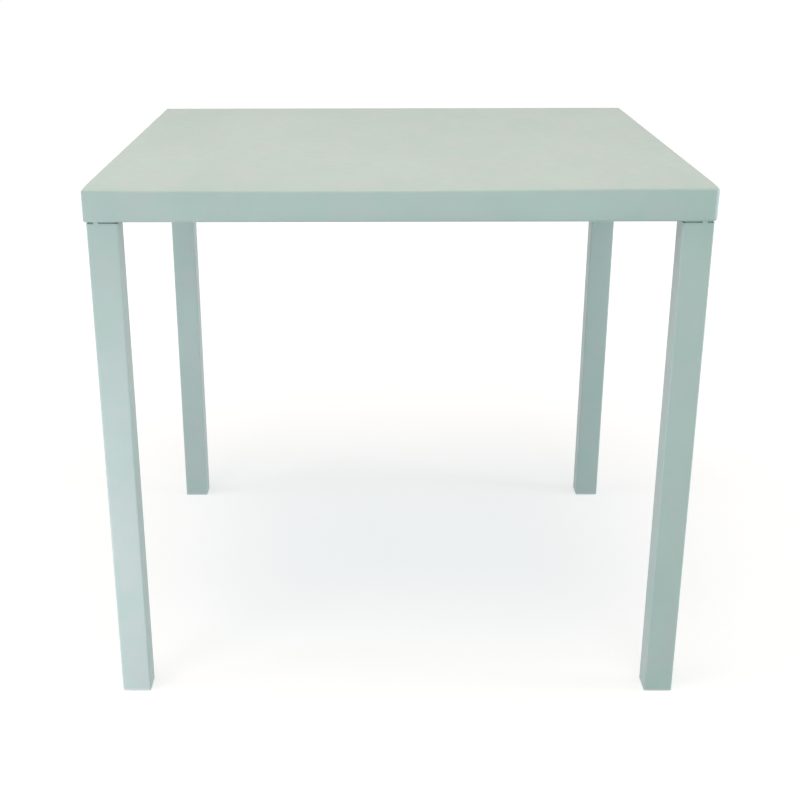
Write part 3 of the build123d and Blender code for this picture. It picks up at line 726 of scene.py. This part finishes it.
# Cross straps
# Flat steel with upturned ends, bent from 30 by 2.5 mm strip and coated. They tie the rails together below
# the runners, each held by two M5 bolts with nuts behind the rails.
strap_wall, strap_bend = 0.0025, 0.0025
m5_bolt = {"Across Flats": 8, "Height": 3.5, "Shank Radius": 2.5, "Shank Length": 12.5, "Thread Pitch": 0.8}
m5_nut = {"Across Flats": 8, "Height": 4, "Bore Radius": 2.55}
roller_names = ("middle", "mouth")
strap_places = []
for place_name in roller_names:
    low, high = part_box(f"cross_strap_{place_name}")
    path = [(low.y, high.z), (low.y, low.z), (high.y, low.z), (high.y, high.z)]
    outline = bent_outline(path, strap_bend, strap_wall)
    names = (f"bent_strap_{place_name}", f"cross_strap_{place_name}")
    long_piece(*names, "root", [(outline, (low.x, high.x))], "yzx", deburred)
    strap_places.append((low.x + high.x) / 2)
strap_bolt_low, strap_bolt_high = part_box("strap_bolts")
strap_bolt_z = (strap_bolt_low.z + strap_bolt_high.z) / 2
strap_seats = seats_on_sides(strap_places, rail_low.y - strap_wall, strap_bolt_z)
fasteners("m5", "strap_bolts", "root", strap_seats, m5_bolt, 13)
strap_nut_seats = seats_on_sides(strap_places, rail_high.y, strap_bolt_z, side_way=1)
fasteners("m5", "strap_nuts", "root", strap_nut_seats, m5_nut, 14)


# Rollers and their axles
# Four wheels moulded in natural nylon, with a dished face and a long hub that holds each one off its rail.
# Each turns on a long M6 bolt whose low head is inside the runner and whose nut is behind the rail.

# Natural nylon: creamy, slightly translucent and waxy. It gives the eye a soft glow and a low sheen, with
# faint flow clouds, and the tread is greyed where it rolls on the coated runner.
nylon, add = new_material("natural moulded nylon")
nylon_cream, nylon_pale, nylon_rolled = "#D6D1C2", "#E3E0D4", "#A9ABA4"
place = add("TexCoord").outputs["Object"]
cloud = add("TexNoise", {"Vector": place, "Scale": 1000 / 7.0, "Detail": 2.0, "Distortion": 0.6})
tones = add("ValToRGB", {"Fac": cloud}, colours={0: nylon_cream, 1: nylon_pale})
tread = add("Attribute", attribute_name="tread")
rubs = add("TexNoise", {"Vector": place, "Scale": 1000 / 2.0, "Detail": 4.0})
tread_share = add("Math", {0: tread.outputs["Fac"], 1: rubs}, operation="MULTIPLY")
colour = add("Mix", {0: tread_share, 6: tones, 7: linear(nylon_rolled)}, data_type="RGBA")
gloss = add("MapRange", {"Value": rubs, 1: 0.3, 2: 0.7, 3: 0.34, 4: 0.5})
moulded = add("Bump", {"Height": rubs, "Strength": 0.3, "Distance": 0.00003})
skin = add("BsdfPrincipled", {
    "Base Color": colour.outputs[2], "Roughness": gloss, "IOR": 1.53, "Subsurface Weight": 0.15,
    "Subsurface Radius": (1.0, 0.9, 0.7), "Subsurface Scale": 0.0015, "Normal": moulded,
})
add("OutputMaterial", {"Surface": skin})

# A roller's section in millimetres, round from its bore: the radius, and the way out from its inner end
wheel_face = [(8.2, 1.75), (8.6, 1.6), (8.9, 1.1), (9.2, 1.0), (10.1, 1.0), (10.45, 1.1), (10.65, 1.4)]
wheel_face += [(10.7, 1.9)]
wheel_middle = 6.0
roller_section = [(3.05, 26.7), (3.05, 13.5), (3.05, 0.3), (3.35, 0.0), (5.0, 0.0), (5.35, 0.15), (5.5, 0.5)]
roller_section += [(5.5, 1.25), (5.65, 1.6), (6.0, 1.75)] + wheel_face + [(10.7, wheel_middle)]
roller_section += [(radius, 2 * wheel_middle - out) for radius, out in wheel_face[::-1]]
roller_section += [(6.4, 10.25), (5.8, 10.5), (5.5, 11.1), (5.5, 19.0), (5.5, 26.5)]
roller_section += [(5.35, 26.85), (5.0, 27.0), (3.35, 27.0)]
roller_turns, tread_radius = 64, 10.6
roller_places = []
for place_name in roller_names:
    for side_name, side in (("front", -1), ("rear", 1)):
        node = f"roller_{place_name}_{side_name}"
        low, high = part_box(node)
        centre_x, inner_y = (low.x + high.x) / 2, min(low.y, high.y, key=abs)
        turns = [2 * math.pi * step / roller_turns for step in range(roller_turns)]
        rings = []
        for radius, out in roller_section:
            reach, y = radius / 1000, inner_y + side * out / 1000
            rings.append([(centre_x + reach * math.cos(t), y, axle_z + reach * math.sin(t)) for t in turns])
        mesh = lofted(f"nylon_{node}", rings, False)
        treads = mesh.attributes.new("tread", "FLOAT", "POINT")
        on_tread = [float(radius > tread_radius) for radius, out in roller_section for t in turns]
        treads.data.foreach_set("value", on_tread)
        settle(new_piece(f"nylon_{node}", mesh, nylon, crease=35), node, "nylon", node)
    roller_places.append(centre_x)

axle_play = 0.00025
axle_seat_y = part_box("roller_mouth_rear")[0].y - axle_play
axle_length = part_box("roller_axles")[1].y - axle_seat_y
axle = m6_bolt | {"Height": 2.5, "Shank Length": axle_length * 1000}
axle_seats = seats_on_sides(roller_places, axle_seat_y, axle_z)
fasteners("m6", "roller_axles", "root", axle_seats, axle, 15)
axle_nut_seats = seats_on_sides(roller_places, rail_high.y, axle_z, side_way=1)
fasteners("m6", "axle_nuts", "root", axle_nut_seats, m6_nut, 16)


# Draw leaf
# One sheet of steel with a rolled edge, shallow folds along its sides and a full-depth apron at its outer
# end, which closes the slot in the table's right end. Its inner fold is notched over the runners.
leaf_low, leaf_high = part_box("leaf_panel")
leaf_fold, leaf_fold_depth, apron_return = 0.003, 0.009, 0.01525
leaf_radii, leaf_insets, notch_margin = {1: 0.004, -1: 0.001}, (0.030, 0.016, 0.008), 0.001
runner_low, runner_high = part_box("runner_rear")
notch = (runner_low.y - notch_margin, runner_high.y + notch_margin)
leaf_marks = {"sides": ((leaf_high.x - leaf_low.x) / 2 - apron_return,), "ends": notch}


def leaf_rows(station):
    """Rows of the leaf at a station, from its flat to the bend at its apron's lower edge."""
    rows = fold_rows(leaf_high.z, leaf_fold, station.own, leaf_insets)
    fold_end = leaf_high.z - leaf_fold_depth
    rows += [(0.0, height, sheet, height, station.own) for height in (fold_end, (fold_end + leaf_low.z) / 2)]
    return rows + bend_rows(leaf_low.z, left_bend_height, station.own)


def unmoved(spot, height):
    """A point of the leaf, which is flat."""
    return Vector((spot.x, spot.y, height))


stations = stations_round((leaf_low.x, leaf_high.x), leaf_high.y, leaf_radii, leaf_marks)
rows_in_all = len(leaf_rows(stations[0])) - 1
rows_to_fold = rows_in_all - bend_steps - 2
rows_to_notch = rows_to_fold - fold_steps // 3 - 1
deep = []
for number, station in enumerate(stations):
    x, y = spot_at(station, 0.0, station.own)
    station.reach = rows_in_all if x > leaf_high.x - apron_return - hair else rows_to_fold
    if x < leaf_low.x + hair and station.run is not None and notch[0] + hair < abs(y) < notch[1] - hair:
        station.reach = rows_to_notch
    if station.reach == rows_in_all:
        deep.append(number)
shape, rings, inner_of = raised(stations, leaf_rows, unmoved)
wrap = next(n for n in range(1, len(deep)) if deep[n] != deep[n - 1] + 1)
shape.faces.new([rings[number][-1] for number in deep[wrap:] + deep[:wrap]])
leaf = new_piece("leaf_sheet", closed_sheet("leaf_sheet", shape, inner_of), coat)
settle(leaf, "leaf", "powder_coated_steel", "leaf_panel")


# Stiffeners, runners and tie under the leaf
# Two deeper hat sections, two C sections of 2 mm sheet that ride over the rollers, and a 16 mm square tube
# that keeps the runners parallel. All are welded to the leaf or to each other, and coated with it.
hat_section("leaf_hat_inner", "leaf_stiffener_inner", "leaf")
hat_section("leaf_hat_outer", "leaf_stiffener_outer", "leaf")

runner_wall, runner_bend, runner_edge = 0.002, 0.001, 0.0003
tie_corner, tie_bore_corner, saw_round = 0.002, 0.0006, 0.0002
for side_name, side in (("front", -1), ("rear", 1)):
    low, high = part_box(f"runner_{side_name}")
    web_y, open_y = sorted((low.y, high.y), key=abs)
    path = [(open_y, high.z), (web_y, high.z), (web_y, low.z), (open_y, low.z)]
    outline = bent_outline(path if side > 0 else path[::-1], runner_bend, runner_wall)
    names = (f"c_runner_{side_name}", f"runner_{side_name}")
    long_piece(*names, "leaf", [(outline, (low.x, high.x))], "yzx", runner_edge)

low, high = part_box("runner_tie")
sizes = {"Side": high.x - low.x, "Wall": sheet, "Corner Radius": tie_corner, "Bore Radius": tie_bore_corner}
sizes |= {"Length": high.y - low.y, "Place": ((low.x + high.x) / 2, high.y, (low.z + high.z) / 2)}
sizes |= {"Turn": (math.pi / 2, 0, 0), "Finish": coat}
tie = grown("tube_tie", bpy.data.meshes.new("tube_tie"), tube_tree, coat, sizes)
settle(finished(tie, saw_round), "leaf", "powder_coated_steel", "runner_tie")


# Stop plugs and their screws
# Blocks of nylon that close the ends of the runners, each with a nose cupped to meet a roller, held by a
# hexagon-headed M4 screw through the runner's web.
cup_radius, cup_steps, plug_round = 0.011, 10, 0.0008
plug_length, plug_cup = 0.018, 0.003
for node, end_x, way in (("closing_stops", runner_high.x, -1), ("opening_stops", runner_low.x, 1)):
    low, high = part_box(node)
    roller_x = end_x + way * (plug_length + cup_radius)
    nose_x, half_height = end_x + way * (plug_length + plug_cup), (high.z - low.z) / 2
    half_cup = math.asin(math.sqrt(cup_radius**2 - (roller_x - nose_x) ** 2) / cup_radius)
    outline = [(end_x, axle_z - half_height), (nose_x, axle_z - half_height)]
    for step in range(cup_steps + 1):
        angle = half_cup * (2 * step / cup_steps - 1)
        outline.append((roller_x - way * cup_radius * math.cos(angle), axle_z + cup_radius * math.sin(angle)))
    outline += [(nose_x, axle_z + half_height), (end_x, axle_z + half_height)]
    inner_y = runner_low.y + runner_wall
    ends = [(inner_y, high.y), (-high.y, -inner_y)]
    name = f"moulded_{node}"
    plugs = new_piece(name, extruded(name, [(outline, pair) for pair in ends], "xzy"), nylon)
    settle(finished(plugs, plug_round), "leaf", "nylon", node)

screw_places = [runner_low.x + plug_length / 2, runner_high.x - plug_length / 2]
screw = {"Across Flats": 7, "Height": 2.4, "Shank Radius": 2, "Shank Length": 14, "Thread Pitch": 0.7}
screw_seats = seats_on_sides(screw_places, runner_low.y, axle_z)
fasteners("m4", "stop_screws", "leaf", screw_seats, screw, 17)


# Floor, light and camera
# A seamless pale studio floor. It keeps the table's shadow, and the camera and reflections see it and the
# room behind it as white: a lift that grows with the distance takes the shading out of the open floor.
floor_mesh = bpy.data.meshes.new("studio_floor")
reach = 30.0
floor_mesh.from_pydata(
    [(-reach, -reach, 0), (reach, -reach, 0), (reach, reach, 0), (-reach, reach, 0)], [], [(0, 1, 2, 3)]
)
pale_floor, add = new_material("matt white studio floor")
lift_from, lift_to = 0.8, 2.6
floor_lift, far_lift, room_light = 0.56, 0.75, 0.45
place = add("TexCoord").outputs["Object"]
grain = add("TexNoise", {"Vector": place, "Scale": 1000 / 400.0, "Detail": 2.0})
tones = add("ValToRGB", {"Fac": grain}, colours={0: "#C6C6C4", 1: "#CACAC8"})
matt = add("BsdfDiffuse", {"Color": tones})
ray = add("LightPath")
seen = add("Math", {0: ray.outputs["Is Camera Ray"], 1: ray.outputs["Is Glossy Ray"]}, operation="MAXIMUM")
away = add("VectorMath", {0: place}, operation="LENGTH")
lifts = add(
    "MapRange", {"Value": away.outputs["Value"], 1: lift_from, 2: lift_to, 3: floor_lift, 4: far_lift}
)
lift = add("Math", {0: seen, 1: lifts}, operation="MULTIPLY")
glow = add("Emission", {"Strength": lift})
both = add("AddShader", {0: matt, 1: glow})
add("OutputMaterial", {"Surface": both})
floor = new_piece("studio_floor", floor_mesh, pale_floor)

world = bpy.data.worlds.new("white studio")
bpy.context.scene.world = world
world.use_nodes = True
world.node_tree.nodes.clear()
add = partial(add_node, world.node_tree)
ray = add("LightPath")
seen = add("Math", {0: ray.outputs["Is Camera Ray"], 1: ray.outputs["Is Glossy Ray"]}, operation="MAXIMUM")
strength = add("MapRange", {"Value": seen, 1: 0.0, 2: 1.0, 3: room_light, 4: 1.0})
room = add("Background", {"Color": (1.0, 1.0, 1.0, 1.0), "Strength": strength})
add("OutputWorld", {"Surface": room})


def soft_box(name, place, aim, size, power, tint):
    """A large soft lamp at a place, turned towards the point that it lights."""
    lamp = bpy.data.lights.new(name, "AREA")
    lamp.shape, lamp.size, lamp.energy, lamp.color = "SQUARE", size, power, linear(tint)[:3]
    holder = bpy.data.objects.new(name, lamp)
    holder.location = place
    holder.rotation_euler = (Vector(aim) - Vector(place)).to_track_quat("-Z", "Y").to_euler()
    holder.visible_camera = False
    bpy.context.scene.collection.objects.link(holder)


soft_box("overhead", (-0.15, -0.6, 2.9), (0, 0, 0.72), 2.0, 37.0, "#FFE6D4")
soft_box("left_wall", (-4, -0.6, 1.4), (0, 0, 0.4), 2.5, 52.0, "#E0F1FF")
soft_box("right_low", (4, -0.6, 0.6), (0, 0, 0.5), 1.1, 67.0, "#E4EEFF")
soft_box("front_fill", (0.5, -4.2, 1.0), (0.1, 0, 0.5), 2.5, 36.0, "#D8FEFF")
soft_box("low_left", (-0.78, -0.95, 0.10), (-0.38, -0.38, 0.06), 0.3, 3.1, "#FFECFF")

# The camera stands at the photograph's place and angle, with its lens shift.
image_side, lens_pixels, principal_x, principal_y = 800, 1415.5, 366.8, 518.6
pitch, yaw, roll = 23.098, -0.364, -0.177
stand = Matrix.Translation((-0.0317, -2.1865, 1.0343))
for angle, axis in ((-yaw, "Z"), (90 - pitch, "X"), (roll, "Z")):
    stand = stand @ Matrix.Rotation(math.radians(angle), 4, axis)
camera_data = bpy.data.cameras.new("photo_camera")
camera_data.sensor_width = 36.0
camera_data.lens = lens_pixels / image_side * camera_data.sensor_width
camera_data.shift_x = (image_side / 2 - principal_x) / image_side
camera_data.shift_y = (principal_y - image_side / 2) / image_side
camera_data.clip_end = 100.0
camera = bpy.data.objects.new("photo_camera", camera_data)
camera.matrix_world = stand
bpy.context.scene.collection.objects.link(camera)
bpy.context.scene.camera = camera
bpy.context.scene.view_settings.view_transform = "Standard"
